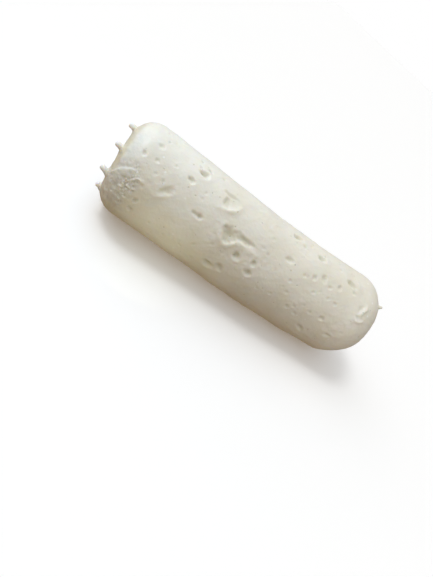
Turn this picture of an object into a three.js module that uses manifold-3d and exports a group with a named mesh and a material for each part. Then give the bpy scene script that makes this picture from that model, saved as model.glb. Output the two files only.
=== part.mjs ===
// A moulded mozzarella loaf lying on its side: one solid cheese with rounded ends, the dents and gas
// holes of its skin, and the pegs of curd that were pressed out through the mould's drain holes.
// Millimetres, +Z up. X runs along the loaf, from the drain end (-X) to the plain end (+X), and -Y is
// the front. The origin is on the surface that the loaf rests on, under its middle.
// Angles round the loaf are in degrees, from the front (0) over the top (90) to the back (180).
import * as THREE from "three";
import { mergeVertices } from "three/addons/utils/BufferGeometryUtils.js";
import Module from "manifold-3d";

const { Vector2, Vector3, MathUtils } = THREE;
const wasm = await Module();
wasm.setup();

// Driving dimensions of the loaf
const LOAF_DIAMETER = 75;
const LOAF_LENGTH = 238;
const DRAIN_END = { side: -1, edgeRadius: 16.5, crown: 1.5, crownReach: 21, dentsFromAxis: [6, 13] };
const PLAIN_END = { side: 1, edgeRadius: 23.3, crown: 3.4, crownReach: 28, dentsFromAxis: [9, 22] };

// The soft loaf has sagged: it bows, and the lower edge of its plain end is drawn back. Both lie in a
// plane that leans back from upright, and the sag is deepest a little towards the plain end.
const SAG = { depth: 3.4, deepestAt: 21, reach: 130, lean: 30 };
const PLAIN_END_SLANT = { drawnBack: 11, starts: 78, full: 119 };
const REST_FLAT_DEPTH = 0.9;

// Gentle waves over the whole skin: height, wavelength along the loaf, lobes round it, and phase
const WAVES = [
  { height: 0.3, length: 96, lobes: 2, phase: 0.6 },
  { height: 0.22, length: 61, lobes: 3, phase: 2.1 },
  { height: 0.16, length: 37, lobes: 5, phase: 4.0 },
];

// The large dents of the front and top: place along the loaf, angle round it, length along the loaf,
// width round it, depth, and the turn of the length away from the loaf's own direction
const FRONT_DENTS = [
  [-26.5, 34, 14.5, 12, 2.1, 0],
  [-14, 38, 22, 6, 1.7, 3],
  [-36.5, 65, 15, 12, 0.8, 30],
  [-38.5, 71.5, 15, 4.5, 1.1, 0],
  [-39.5, 63, 7, 12, 1.3, 0],
  [-62.5, 72, 9, 6, 2.0, 0],
  [-60, 82, 6, 3.5, 1.0, -20],
  [-68.5, 55, 7, 5, 1.4, 10],
  [-79, 30, 13, 7.5, 1.0, 45],
  [-51, 30, 5.5, 5, 1.6, 0],
  [-54.5, 29, 7, 3.5, 1.1, 5],
  [-13.5, 18.5, 7, 6.5, 1.9, 0],
  [0.5, 23, 5, 5, 1.4, 0],
  [1, 11, 6.5, 5, 1.5, 0],
  [-25.5, -10.5, 10.5, 7, 1.9, 0],
  [-18, -5, 9, 7.5, 1.5, -10],
  [22, 51, 10, 7, 1.1, 0],
  [23, 87.5, 11, 6.5, 1.8, 0],
  [47, 78.5, 9, 6.5, 1.6, 0],
  [53.5, 56, 6, 7.5, 1.2, 30],
  [46, 50.5, 4.5, 5, 0.9, 0],
  [68.5, 57, 5, 5.5, 1.0, 0],
  [78, 70.5, 11.5, 6, 1.7, -10],
  [92.5, 48, 4.5, 9, 0.8, 0],
  [64, -14, 10, 5.5, 1.3, -35],
  [84, 0, 8.5, 4, 0.9, 5],
  [69.5, 14.5, 5, 4.5, 1.1, 0],
  [-104, 48.5, 4.5, 4, 1.0, 0],
  [-97, 66.5, 6, 5, 0.8, 0],
  [-93, 2, 4, 5, 1.3, 0],
  [-93, -11.5, 4, 5, 1.2, 0],
];

// A dent's section, outwards from its middle in shares of its size: its floor, its rim and a low lip
const BOWL = { floor: 0.25, rim: 1.12 };
const LIP = { at: 1.2, spread: 0.25, height: 0.1 };

// What stands up fades out inside a dent, from the first of these depths to the second
const FADES_IN_DENT = { from: 0.15, to: 0.7 };

// Raised ridges beside dents and at torn skin: height, breadths towards the top and the bottom, and the
// places along the loaf and angles round it that each runs through. A ridge's height follows a half
// wave, less a share of it that is cut off at each end
const RIDGE_WAVE_CUT = 0.12;
const RIDGES = [
  {
    height: 0.9, above: 1.4, below: 3.0,
    through: [[-33.5, 29], [-30, 23.5], [-26.5, 20.5], [-22, 26], [-18, 32], [-10, 33], [-1, 33.5]],
  },
  { height: 1.1, above: 1.0, below: 2.2, through: [[-42.5, 51.5], [-36.5, 54], [-31, 58], [-28.5, 66]] },
  { height: 0.6, above: 1.0, below: 2.2, through: [[-84, 17], [-79, 23], [-74, 32]] },
  { height: 1.5, above: 1.5, below: 1.9, through: [[97.5, 55], [96, 48.5], [94.5, 42]] },
  { height: 1.0, above: 0.8, below: 1.3, through: [[90, 37], [93, 34], [97, 34.5], [99, 37]] },
  { height: 1.2, above: 1.6, below: 1.8, through: [[82, 81], [85, 75.5], [88.5, 71]] },
  { height: 0.8, above: 0.7, below: 5.0, through: [[-116, 9], [-111.5, 21], [-105, 28], [-100.5, 27]] },
  { height: 1.0, above: 0.8, below: 1.1, through: [[-101.5, 19.5], [-99.5, 22.5], [-97, 23.5], [-94, 22]] },
];

// Like dents over the back and the ends, where each is drawn between these limits
const DRAWN_SHAPE = { slimness: [0.5, 0.9], depthShare: [0.16, 0.22], turn: [-30, 30] };
const BACK_DENTS = { count: 18, along: [-101, 94], angles: [105, 225], length: [4.5, 13], apart: 4 };
const END_DENTS = { count: 3, sway: [-40, 40], length: [4.5, 7] };

// The crumbly patch beside the drain end: its place, its reach, and the hollows and crumbs in it
const CRUMBLE = { along: -105, angle: 3, reach: [9, 11], count: 12, size: [3.6, 5.2], turn: [-60, 60] };
const HOLLOW_DEPTH = 0.5;
const CRUMB_HEIGHT = 0.3;

// Pegs of curd on the drain end, one for each hole of the mould's ring, and one spike at the plain end
const PEG_RING_RADIUS = 26;
const FIRST_PEG_ANGLE = -1.5;
const PEG_HEIGHTS = [6.5, 5.4, 5.4, 1.8, 2.6, 3.0, 2.0, 4.0];
const PEG = { neck: 2.0, bulb: 2.15, foot: 2.9, root: 2, sides: 8, lean: [0.12, 0.25], tilt: 7 };
const SPIKE = { height: 3.3, neck: 1.5, bulb: 1.1, foot: 2.2, angle: 79, roll: 52 };

// Facets: long edges on plain skin, and short ones in the dents as a share of each dent's width
const LONGEST_EDGE = 11;
const DENT_EDGE_SHARE = 0.55;
const RIDGE_EDGE = 2.6;
const EDGE_GROWTH = 0.8;

// The first number, the factor and the limit of the random draws
const RANDOM_SEED = 20117;
const DRAW_FACTOR = 48271;
const DRAW_LIMIT = 2147483647;

const RADIUS = LOAF_DIAMETER / 2;
const HALF_LENGTH = LOAF_LENGTH / 2;

// Evenly spread draws between two limits, the same on every run
let drawn = RANDOM_SEED;
function draw([low, high]) {
  drawn = (drawn * DRAW_FACTOR) % DRAW_LIMIT;
  return low + ((high - low) * drawn) / DRAW_LIMIT;
}

// Direction away from the loaf's axis at an angle round it
function outwardAt(angle) {
  const turn = MathUtils.degToRad(angle);
  return new Vector3(0, -Math.cos(turn), Math.sin(turn));
}

// The nearest place on the straight, undented skin, and the skin's outward direction there
function skinAt(point) {
  const end = point.x < 0 ? DRAIN_END : PLAIN_END;
  const faceRadius = RADIUS - end.edgeRadius;
  const fromAxis = Math.hypot(point.y, point.z);
  const outward = new Vector3(0, point.y, point.z).normalize();
  const pastSide = end.side * point.x - (HALF_LENGTH - end.edgeRadius);
  if (pastSide <= 0) {
    return { foot: outward.clone().multiplyScalar(RADIUS).setX(point.x), normal: outward };
  }
  const normal = outward.multiplyScalar(Math.max(0, fromAxis - faceRadius));
  normal.setX(end.side * (fromAxis > faceRadius ? pastSide : 1)).normalize();
  const foot = new Vector3(0, point.y, point.z).setLength(Math.min(fromAxis, faceRadius));
  foot.setX(end.side * (HALF_LENGTH - end.edgeRadius)).addScaledVector(normal, end.edgeRadius);
  const outwards = Math.min(1, Math.hypot(foot.y, foot.z) / end.crownReach);
  foot.x += (end.side * end.crown * (1 + Math.cos(Math.PI * outwards))) / 2;
  return { foot, normal };
}

// A dent or, with a negative depth, a crumb: an oval on the skin with its own two directions
function dentAt(point, length, width, depth, turn) {
  const { foot, normal } = skinAt(point);
  const levelled = Math.abs(normal.x) > 0.9 ? new Vector3(0, 1, 0) : new Vector3(1, 0, 0);
  const along = levelled.addScaledVector(normal, -levelled.dot(normal)).normalize();
  along.applyAxisAngle(normal, MathUtils.degToRad(turn));
  const across = normal.clone().cross(along);
  return { foot, normal, along, across, length, width, depth };
}

function dentOnSide([along, angle, length, width, depth, turn]) {
  return dentAt(outwardAt(angle).multiplyScalar(RADIUS).setX(along), length, width, depth, turn);
}

function drawnDent(point, lengths) {
  const length = draw(lengths);
  const width = length * draw(DRAWN_SHAPE.slimness);
  return dentAt(point, length, width, width * draw(DRAWN_SHAPE.depthShare), draw(DRAWN_SHAPE.turn));
}

// Dents on the back are placed one by one, each clear of those before it
function backDents() {
  const dents = [];
  while (dents.length < BACK_DENTS.count) {
    const along = draw(BACK_DENTS.along);
    const point = outwardAt(draw(BACK_DENTS.angles)).multiplyScalar(RADIUS).setX(along);
    const dent = drawnDent(point, BACK_DENTS.length);
    const room = (other) => (other.length + dent.length) / 2 + BACK_DENTS.apart;
    if (dents.every((other) => other.foot.distanceTo(dent.foot) > room(other))) dents.push(dent);
  }
  return dents;
}

function endDents(end) {
  return Array.from({ length: END_DENTS.count }, (_, i) => {
    const point = outwardAt((360 * i) / END_DENTS.count + draw(END_DENTS.sway));
    point.multiplyScalar(draw(end.dentsFromAxis)).setX(end.side * HALF_LENGTH);
    return drawnDent(point, END_DENTS.length);
  });
}

// Hollows and crumbs by turns, spread over the patch along a golden-angle spiral
function crumble() {
  const goldenAngle = Math.PI * (3 - Math.sqrt(5));
  return Array.from({ length: CRUMBLE.count }, (_, i) => {
    const outwards = Math.sqrt((i + 0.5) / CRUMBLE.count);
    const along = CRUMBLE.along + CRUMBLE.reach[0] * outwards * Math.cos(i * goldenAngle);
    const round = CRUMBLE.reach[1] * outwards * Math.sin(i * goldenAngle);
    const angle = CRUMBLE.angle + MathUtils.radToDeg(round / RADIUS);
    const size = draw(CRUMBLE.size);
    const depth = i % 2 ? -CRUMB_HEIGHT : HOLLOW_DEPTH;
    return dentOnSide([along, angle, size, size, depth, draw(CRUMBLE.turn)]);
  });
}

const DENTS = [
  ...FRONT_DENTS.map(dentOnSide),
  ...backDents(),
  ...endDents(DRAIN_END),
  ...endDents(PLAIN_END),
  ...crumble(),
];

// How far out a place lies from a dent's middle: 1 on the dent's outline
function outwardInDent(dent, foot) {
  const offset = foot.clone().sub(dent.foot);
  return Math.hypot(
    offset.dot(dent.along) / (dent.length / 2),
    offset.dot(dent.across) / (dent.width / 2),
    offset.dot(dent.normal) / (dent.width / 2),
  );
}

// How far a place on the skin is from a ridge's line, and how high the ridge is there: it fades to its ends
function nearRidge(ridge, foot) {
  const unrolled = (along, angle) => new Vector2(along, angle * RADIUS);
  const here = unrolled(foot.x, Math.atan2(foot.z, -foot.y));
  const stations = ridge.through.map(([along, angle]) => unrolled(along, MathUtils.degToRad(angle)));
  let nearest = { distance: Infinity, height: 0 };
  for (let i = 1; i < stations.length; i++) {
    const step = stations[i].clone().sub(stations[i - 1]);
    const offset = here.clone().sub(stations[i - 1]);
    const share = MathUtils.clamp(offset.dot(step) / step.lengthSq(), 0, 1);
    const breadth = step.cross(offset) > 0 ? ridge.above : ridge.below;
    const distance = offset.addScaledVector(step, -share).length();
    if (distance < nearest.distance) {
      const alongRidge = (i - 1 + share) / (stations.length - 1);
      const fading = Math.sin(Math.PI * MathUtils.lerp(RIDGE_WAVE_CUT, 1 - RIDGE_WAVE_CUT, alongRidge));
      nearest = { distance, height: ridge.height * fading * Math.exp(-((distance / breadth) ** 2)) };
    }
  }
  return nearest;
}

// Height of the skin over the plain loaf: dents that overlap run together, each has a low lip where no
// other dent is, and ridges and crumbs stand up
function relief(foot) {
  let deepest = 0;
  let highest = 0;
  for (const dent of DENTS) {
    const outwards = outwardInDent(dent, foot);
    const bowl = 1 - MathUtils.smoothstep(outwards, BOWL.floor, BOWL.rim);
    const lip = LIP.height * Math.exp(-(((outwards - LIP.at) / LIP.spread) ** 2));
    deepest = Math.hypot(deepest, Math.max(0, dent.depth) * bowl);
    highest = Math.max(highest, -dent.depth * bowl, dent.depth * lip);
  }
  highest = Math.max(highest, ...RIDGES.map((ridge) => nearRidge(ridge, foot).height));
  return highest * (1 - MathUtils.smoothstep(deepest, FADES_IN_DENT.from, FADES_IN_DENT.to)) - deepest;
}

function waves(foot) {
  const angle = Math.atan2(foot.z, -foot.y);
  const share = Math.hypot(foot.y, foot.z) / RADIUS;
  return WAVES.reduce((sum, wave) => {
    const alongLoaf = Math.sin((2 * Math.PI * foot.x) / wave.length + wave.phase);
    return sum + wave.height * share * alongLoaf * Math.cos(wave.lobes * angle + wave.phase);
  }, 0);
}

const LEANING_UP = outwardAt(90 + SAG.lean);
const LOWEST_AXIS = SAG.depth * LEANING_UP.z;

// Takes a place on the plain skin to the real loaf: dented, sagged, and flattened where it rests
function shaped(point) {
  const { foot, normal } = skinAt(point);
  const place = foot.clone().addScaledVector(normal, waves(foot) + relief(foot));
  const lowSide = Math.max(0, -place.dot(LEANING_UP) / RADIUS);
  const fromSag = Math.min(1, Math.abs(foot.x - SAG.deepestAt) / SAG.reach);
  const towardsEnd = MathUtils.smootherstep(foot.x, PLAIN_END_SLANT.starts, PLAIN_END_SLANT.full);
  place.x -= PLAIN_END_SLANT.drawnBack * towardsEnd * lowSide ** 3;
  place.addScaledVector(LEANING_UP, (-SAG.depth * (1 + Math.cos(Math.PI * fromSag))) / 2);
  place.z = Math.max(0, place.z + RADIUS + LOWEST_AXIS - REST_FLAT_DEPTH);
  return place;
}

// The longest edge that a facet may have at a place: short in a dent or on a ridge, and growing away from it
function longestEdgeAt(place) {
  const { foot } = skinAt(place);
  const inDents = DENTS.map((dent) => {
    const slim = Math.min(dent.length, dent.width);
    const outside = Math.max(0, outwardInDent(dent, foot) - BOWL.rim) * (slim / 2);
    return DENT_EDGE_SHARE * slim + EDGE_GROWTH * outside;
  });
  const onRidges = RIDGES.map((ridge) => {
    const outside = Math.max(0, nearRidge(ridge, foot).distance - ridge.below);
    return RIDGE_EDGE + EDGE_GROWTH * outside;
  });
  return Math.min(LONGEST_EDGE, ...inDents, ...onRidges);
}

// Splits each edge that is too long for its place, at its middle, until none is left
function refined(geometry) {
  const position = geometry.getAttribute("position");
  const pointAt = (_, i) => new Vector3().fromBufferAttribute(position, i);
  const points = Array.from({ length: position.count }, pointAt);
  const middles = new Map();
  function middleOf(i, j) {
    const key = i < j ? `${i}_${j}` : `${j}_${i}`;
    if (!middles.has(key)) {
      const place = points[i].clone().lerp(points[j], 0.5);
      const excess = points[i].distanceTo(points[j]) / longestEdgeAt(place);
      middles.set(key, { place, excess, index: -1 });
    }
    return middles.get(key);
  }
  const waiting = [];
  for (let i = 0; i < geometry.index.count; i += 3) {
    waiting.push([0, 1, 2].map((corner) => geometry.index.getX(i + corner)));
  }
  const triangles = [];
  while (waiting.length) {
    const [a, b, c] = waiting.pop();
    if (a === b || b === c || c === a) continue;
    const sides = [[a, b, c], [b, c, a], [c, a, b]];
    const excessOf = ([i, j]) => middleOf(i, j).excess;
    const [i, j, k] = sides.reduce((most, side) => (excessOf(side) > excessOf(most) ? side : most));
    const middle = middleOf(i, j);
    if (middle.excess <= 1) {
      triangles.push(a, b, c);
      continue;
    }
    if (middle.index < 0) middle.index = points.push(middle.place) - 1;
    waiting.push([i, middle.index, k], [middle.index, j, k]);
  }
  return { points, triangles };
}

function solidOf(geometry) {
  geometry.deleteAttribute("normal");
  geometry.deleteAttribute("uv");
  const merged = mergeVertices(geometry);
  return new wasm.Manifold(
    new wasm.Mesh({
      numProp: 3,
      vertProperties: merged.getAttribute("position").array,
      triVerts: new Uint32Array(merged.index.array),
    }),
  );
}

// The cheese itself: a turned blank, its facets split to suit the dents, then shaped
function loafBody() {
  const outline = new THREE.Path();
  const drainFace = RADIUS - DRAIN_END.edgeRadius;
  const plainFace = RADIUS - PLAIN_END.edgeRadius;
  outline.moveTo(0, -HALF_LENGTH).lineTo(drainFace, -HALF_LENGTH);
  outline.absarc(drainFace, -HALF_LENGTH + DRAIN_END.edgeRadius, DRAIN_END.edgeRadius, -Math.PI / 2, 0);
  outline.lineTo(RADIUS, HALF_LENGTH - PLAIN_END.edgeRadius);
  outline.absarc(plainFace, HALF_LENGTH - PLAIN_END.edgeRadius, PLAIN_END.edgeRadius, 0, Math.PI / 2);
  outline.lineTo(0, HALF_LENGTH);
  const steps = Math.round(outline.getLength() / LONGEST_EDGE);
  const sides = Math.round((Math.PI * LOAF_DIAMETER) / LONGEST_EDGE);
  const blank = new THREE.LatheGeometry(outline.getSpacedPoints(steps), sides).rotateZ(-Math.PI / 2);
  blank.deleteAttribute("normal");
  blank.deleteAttribute("uv");
  const { points, triangles } = refined(mergeVertices(blank));
  const loaf = new THREE.BufferGeometry().setFromPoints(points.map(shaped));
  return solidOf(loaf.setIndex(triangles));
}

// A peg or spike: a turned neck with a bulb at its tip, rooted in the loaf, pointing along a direction.
// A short one has lost its bulb, and tapers.
function peg(place, direction, { height, neck, bulb, foot }) {
  const tip = Math.min(bulb, height / 2);
  const outline = [
    [0, -PEG.root], [foot, -PEG.root], [foot * 0.9, 0], [neck * 1.1, height * 0.2],
    [neck, height * 0.45], [tip, height - tip * 0.9], [tip * 0.7, height - tip * 0.15], [0, height],
  ];
  const turned = new THREE.LatheGeometry(outline.map((p) => new Vector2(...p)), PEG.sides);
  const upright = new Vector3(0, 1, 0);
  turned.applyQuaternion(new THREE.Quaternion().setFromUnitVectors(upright, direction));
  return solidOf(turned.translate(place.x, place.y, place.z));
}

function drainPegs() {
  return PEG_HEIGHTS.map((height, i) => {
    const angle = FIRST_PEG_ANGLE + (360 * i) / PEG_HEIGHTS.length;
    const onFace = outwardAt(angle).multiplyScalar(PEG_RING_RADIUS).setX(-HALF_LENGTH);
    const sway = Math.tan(MathUtils.degToRad(PEG.tilt));
    const [leanBack, leanUp] = PEG.lean;
    const direction = new Vector3(-1, leanBack + draw([-sway, sway]), leanUp + draw([-sway, sway]));
    return peg(shaped(onFace), direction.normalize(), { ...PEG, height });
  });
}

function plainEndSpike() {
  const roll = MathUtils.degToRad(SPIKE.roll);
  const normal = outwardAt(SPIKE.angle).multiplyScalar(Math.cos(roll)).setX(Math.sin(roll));
  const onEdge = outwardAt(SPIKE.angle).multiplyScalar(RADIUS - PLAIN_END.edgeRadius);
  onEdge.setX(HALF_LENGTH - PLAIN_END.edgeRadius).addScaledVector(normal, PLAIN_END.edgeRadius);
  return peg(shaped(onEdge), normal, SPIKE);
}

function meshOf(solid, name, material) {
  const { vertProperties, triVerts } = solid.getMesh();
  const geometry = new THREE.BufferGeometry();
  geometry.setAttribute("position", new THREE.BufferAttribute(vertProperties, 3));
  geometry.setIndex(new THREE.BufferAttribute(triVerts, 1));
  geometry.computeVertexNormals();
  const mesh = new THREE.Mesh(geometry, material);
  mesh.name = name;
  return mesh;
}

const curd = new THREE.MeshStandardMaterial({ color: 0xeae6d8, roughness: 0.5, metalness: 0 });
const cheese = [...drainPegs(), plainEndSpike()].reduce((whole, piece) => whole.add(piece), loafBody());

const loaf = new THREE.Group();
loaf.add(meshOf(cheese, "loaf", curd));
export default loaf;
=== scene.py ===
import math

import bmesh
import bpy
import numpy as np
from mathutils import Matrix, Quaternion, Vector, noise


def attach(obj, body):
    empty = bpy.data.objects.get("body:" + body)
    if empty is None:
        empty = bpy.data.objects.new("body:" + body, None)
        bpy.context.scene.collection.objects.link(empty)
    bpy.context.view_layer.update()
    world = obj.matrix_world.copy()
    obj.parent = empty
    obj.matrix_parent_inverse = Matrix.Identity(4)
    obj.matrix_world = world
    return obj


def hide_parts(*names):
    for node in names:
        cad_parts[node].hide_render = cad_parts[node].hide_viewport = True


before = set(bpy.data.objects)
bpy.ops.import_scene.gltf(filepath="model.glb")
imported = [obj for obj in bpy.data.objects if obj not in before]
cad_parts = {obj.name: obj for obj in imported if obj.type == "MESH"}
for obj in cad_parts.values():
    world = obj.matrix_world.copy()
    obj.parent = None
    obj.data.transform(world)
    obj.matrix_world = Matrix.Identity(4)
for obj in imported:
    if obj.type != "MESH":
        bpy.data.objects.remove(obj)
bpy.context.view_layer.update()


# The loaf's body: stretched mozzarella curd, packed hot into a tube mould and set there.
# It comes out as a straight round bar with rounded ends, and is shaped here in millimetres.
MM = 0.001
LOAF_RADIUS = 37.5
HALF_LENGTH = 119.0
DRAIN_EDGE_RADIUS = 16.5
PLAIN_EDGE_RADIUS = 23.3
DRAIN_CROWN = 1.5
PLAIN_CROWN = 3.4
DRAIN_CROWN_REACH = 21.0
PLAIN_CROWN_REACH = 28.0
PATCH_ALONG = -107.0
PATCH_ANGLE = -1.0
PATCH_REACH = (13.0, 24.0)
GRID_STEP = 0.89
MERGE_DISTANCE = 0.001
TINY = 1e-6

loaf_form = bmesh.new()
corners = [
    loaf_form.verts.new((along, 0.0, out))
    for along, out in (
        (-HALF_LENGTH, 0.0),
        (-HALF_LENGTH, LOAF_RADIUS),
        (HALF_LENGTH, LOAF_RADIUS),
        (HALF_LENGTH, 0.0),
    )
]
for first, second in zip(corners, corners[1:]):
    loaf_form.edges.new((first, second))
for corner, edge_radius in ((corners[1], DRAIN_EDGE_RADIUS), (corners[2], PLAIN_EDGE_RADIUS)):
    bmesh.ops.bevel(
        loaf_form,
        geom=[corner],
        offset=edge_radius,
        offset_type="OFFSET",
        affect="VERTICES",
        segments=round(edge_radius * math.pi / 2 / GRID_STEP),
        profile=0.5,
        material=-1,
    )
for edge in [edge for edge in loaf_form.edges if edge.calc_length() > 2 * GRID_STEP]:
    bmesh.ops.subdivide_edges(loaf_form, edges=[edge], cuts=round(edge.calc_length() / GRID_STEP) - 1)
bmesh.ops.spin(
    loaf_form,
    geom=loaf_form.verts[:] + loaf_form.edges[:],
    cent=(0, 0, 0),
    axis=(1, 0, 0),
    angle=2 * math.pi,
    steps=round(2 * math.pi * LOAF_RADIUS / GRID_STEP),
    use_merge=True,
)
bmesh.ops.remove_doubles(loaf_form, verts=loaf_form.verts[:], dist=MERGE_DISTANCE)
bmesh.ops.recalc_face_normals(loaf_form, faces=loaf_form.faces[:])


def in_patch(face):
    """Whether a face lies where the crumbly patch will be."""
    middle = face.calc_center_median()
    along = (middle.x - PATCH_ALONG) / PATCH_REACH[0]
    angle = math.atan2(middle.z, -middle.y) - math.radians(PATCH_ANGLE)
    return math.hypot(along, angle * LOAF_RADIUS / PATCH_REACH[1]) < 1


# The mesh is finer in the patch. Each edge there is taken once, in the mesh's own order.
patch_edges = dict.fromkeys(edge for face in loaf_form.faces if in_patch(face) for edge in face.edges)
bmesh.ops.subdivide_edges(loaf_form, edges=list(patch_edges), cuts=1, use_grid_fill=True)
loaf_mesh = bpy.data.meshes.new("loaf_curd")
loaf_form.to_mesh(loaf_mesh)
loaf_form.free()


def skin_at(points):
    """The nearest places on the plain moulded skin, and the skin's outward directions there."""
    along = points[:, 0]
    side = np.where(along < 0, -1.0, 1.0)
    edge_radius = np.where(along < 0, DRAIN_EDGE_RADIUS, PLAIN_EDGE_RADIUS)
    crown = np.where(along < 0, DRAIN_CROWN, PLAIN_CROWN)
    crown_reach = np.where(along < 0, DRAIN_CROWN_REACH, PLAIN_CROWN_REACH)
    from_axis = np.hypot(points[:, 1], points[:, 2])
    outward = points[:, 1:] / np.maximum(from_axis, TINY)[:, None]
    face_radius = LOAF_RADIUS - edge_radius
    past_side = np.maximum(side * along - (HALF_LENGTH - edge_radius), 0.0)
    past_face = np.maximum(from_axis - face_radius, 0.0)
    on_side = past_side <= 0
    reach = np.maximum(np.hypot(past_side, past_face), TINY)
    normal_along = np.where(on_side, 0.0, side * past_side / reach)
    normal_out = np.where(on_side, 1.0, past_face / reach)
    normals = np.column_stack([normal_along, outward * normal_out[:, None]])
    feet_out = np.where(on_side, LOAF_RADIUS, np.minimum(from_axis, face_radius) + normal_out * edge_radius)
    doming = crown * (1 + np.cos(np.pi * np.minimum(feet_out / crown_reach, 1.0))) / 2
    end_along = side * (HALF_LENGTH - edge_radius + doming) + normal_along * edge_radius
    feet_along = np.where(on_side, along, end_along)
    return np.column_stack([feet_along, outward * feet_out[:, None]]), normals


points = np.empty(len(loaf_mesh.vertices) * 3)
loaf_mesh.vertices.foreach_get("co", points)
feet, normals = skin_at(points.reshape(-1, 3))


# The dents and gas holes in the skin: trapped whey and air kept the hot curd off the mould's wall.
# The large ones on the front are placed one by one, and those of the back and ends are drawn.
# Each row: place along the loaf, angle round it, length, width, depth, and turn of the length.
FRONT_DENTS = (
    (-26.5, 34, 14.5, 12, 2.1, 0),
    (-14, 38, 22, 6, 1.7, 3),
    (-36.5, 65, 15, 12, 0.8, 30),
    (-38.5, 71.5, 15, 4.5, 1.1, 0),
    (-39.5, 63, 7, 12, 1.3, 0),
    (-62.5, 72, 9, 6, 2.0, 0),
    (-60, 82, 6, 3.5, 1.0, -20),
    (-68.5, 55, 7, 5, 1.4, 10),
    (-79, 30, 13, 7.5, 1.0, 45),
    (-51, 30, 5.5, 5, 1.6, 0),
    (-54.5, 29, 7, 3.5, 1.1, 5),
    (-13.5, 18.5, 7, 6.5, 1.9, 0),
    (0.5, 23, 5, 5, 1.4, 0),
    (1, 11, 6.5, 5, 1.5, 0),
    (-25.5, -10.5, 10.5, 7, 1.9, 0),
    (-18, -5, 9, 7.5, 1.5, -10),
    (22, 51, 10, 7, 1.1, 0),
    (23, 87.5, 11, 6.5, 1.8, 0),
    (47, 78.5, 9, 6.5, 1.6, 0),
    (53.5, 56, 6, 7.5, 1.2, 30),
    (46, 50.5, 4.5, 5, 0.9, 0),
    (68.5, 57, 5, 5.5, 1.0, 0),
    (78, 70.5, 11.5, 6, 1.7, -10),
    (92.5, 48, 4.5, 9, 0.8, 0),
    (64, -14, 10, 5.5, 1.3, -35),
    (84, 0, 8.5, 4, 0.9, 5),
    (69.5, 14.5, 5, 4.5, 1.1, 0),
    (-104, 48.5, 4.5, 4, 1.0, 0),
    (-97, 66.5, 6, 5, 0.8, 0),
    (-93, 2, 4, 5, 1.3, 0),
    (-93, -11.5, 4, 5, 1.2, 0),
)
# Each ridge: its height, its breadth above and below, and the places and angles that it runs through.
RIDGES = (
    (0.9, 1.4, 3.0, ((-33.5, 29), (-30, 23.5), (-26.5, 20.5), (-22, 26), (-18, 32), (-10, 33), (-1, 33.5))),
    (1.1, 1.0, 2.2, ((-42.5, 51.5), (-36.5, 54), (-31, 58), (-28.5, 66))),
    (0.6, 1.0, 2.2, ((-84, 17), (-79, 23), (-74, 32))),
    (1.5, 1.5, 1.9, ((97.5, 55), (96, 48.5), (94.5, 42))),
    (1.0, 0.8, 1.3, ((90, 37), (93, 34), (97, 34.5), (99, 37))),
    (1.2, 1.6, 1.8, ((82, 81), (85, 75.5), (88.5, 71))),
    (0.8, 0.7, 5.0, ((-116, 9), (-111.5, 21), (-105, 28), (-100.5, 27))),
    (1.0, 0.8, 1.1, ((-101.5, 19.5), (-99.5, 22.5), (-97, 23.5), (-94, 22))),
)
# Each small pit of the front: its place along the loaf, angle round it, width and depth.
FRONT_PITS = (
    (4, 60, 3.0, 0.5),
    (0.5, 44, 2.4, 0.5),
    (6, 41, 2.6, 0.5),
    (31, 31.5, 2.8, 0.6),
    (34, 18, 3.0, 0.5),
    (29, 22, 2.4, 0.5),
    (24.5, 6.5, 2.8, 0.6),
    (14.5, 2.5, 2.2, 0.6),
    (42, 4.5, 3.4, 0.6),
    (46, 9, 2.8, 0.5),
    (50.5, 1, 3.6, 0.6),
    (59, 13, 2.8, 0.6),
    (51.5, 17, 2.4, 0.5),
    (51, 35, 3.2, 0.7),
    (71, 37, 3.4, 0.7),
    (64, 38, 2.8, 0.6),
    (55.5, 40, 2.6, 0.5),
    (61, 50.5, 3.2, 0.7),
    (38, 46, 3.4, 0.7),
    (41, 47, 2.6, 0.5),
    (82, 61.5, 3.4, 0.7),
    (65.5, 80, 3.0, 0.6),
    (93, 38.5, 3.0, 0.7),
    (97, 39, 2.4, 0.5),
    (90.5, 12, 2.8, 0.4),
    (30, 79, 3.4, 0.6),
    (36, 88, 3.4, 0.6),
    (-94.5, 50, 3.6, 0.7),
    (-84.5, 36, 2.8, 0.7),
    (-82, 58, 2.4, 0.6),
    (-91, 38, 2.4, 0.5),
    (-55.5, 54, 2.8, 0.6),
    (-56, 46, 2.4, 0.5),
    (-32, 14, 2.4, 0.6),
    (-23, 12.5, 2.4, 0.6),
    (-43, -0.5, 2.6, 0.6),
    (-50, -13, 2.6, 0.6),
    (-64.5, -15, 2.6, 0.6),
    (-77, -12, 2.8, 0.6),
    (-38, -18, 2.6, 0.6),
)
FRONT_PIT_STRETCH = 1.2
BACK_DENT_COUNT = 18
BACK_DENT_ALONG = (-101, 94)
BACK_DENT_ANGLES = (105, 225)
BACK_DENT_LENGTHS = (4.5, 13)
BACK_DENTS_APART = 4
END_DENT_COUNT = 3
END_DENT_SWAY = (-40, 40)
DRAIN_DENTS_FROM_AXIS = (6, 13)
PLAIN_DENTS_FROM_AXIS = (9, 22)
END_DENT_LENGTHS = (4.5, 7)
DRAWN_SLIMNESS = (0.5, 0.9)
DRAWN_DEPTH_SHARE = (0.16, 0.22)
DRAWN_TURN = (-30, 30)
CRUMB_COUNT = 12
CRUMBLE_ALONG = -105
CRUMBLE_ANGLE = 3
CRUMBLE_REACH = (9, 11)
CRUMB_SIZES = (3.6, 5.2)
CRUMB_TURN = (-60, 60)
HOLLOW_DEPTH = 0.5
CRUMB_HEIGHT = 0.3
GOLDEN_ANGLE = math.pi * (3 - math.sqrt(5))
PEG_COUNT = 8
PEG_SWAY = (-1, 1)
SMALL_PIT_COUNT = 130
SMALL_PIT_ALONG = (-HALF_LENGTH + 6, HALF_LENGTH - 8)
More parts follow.
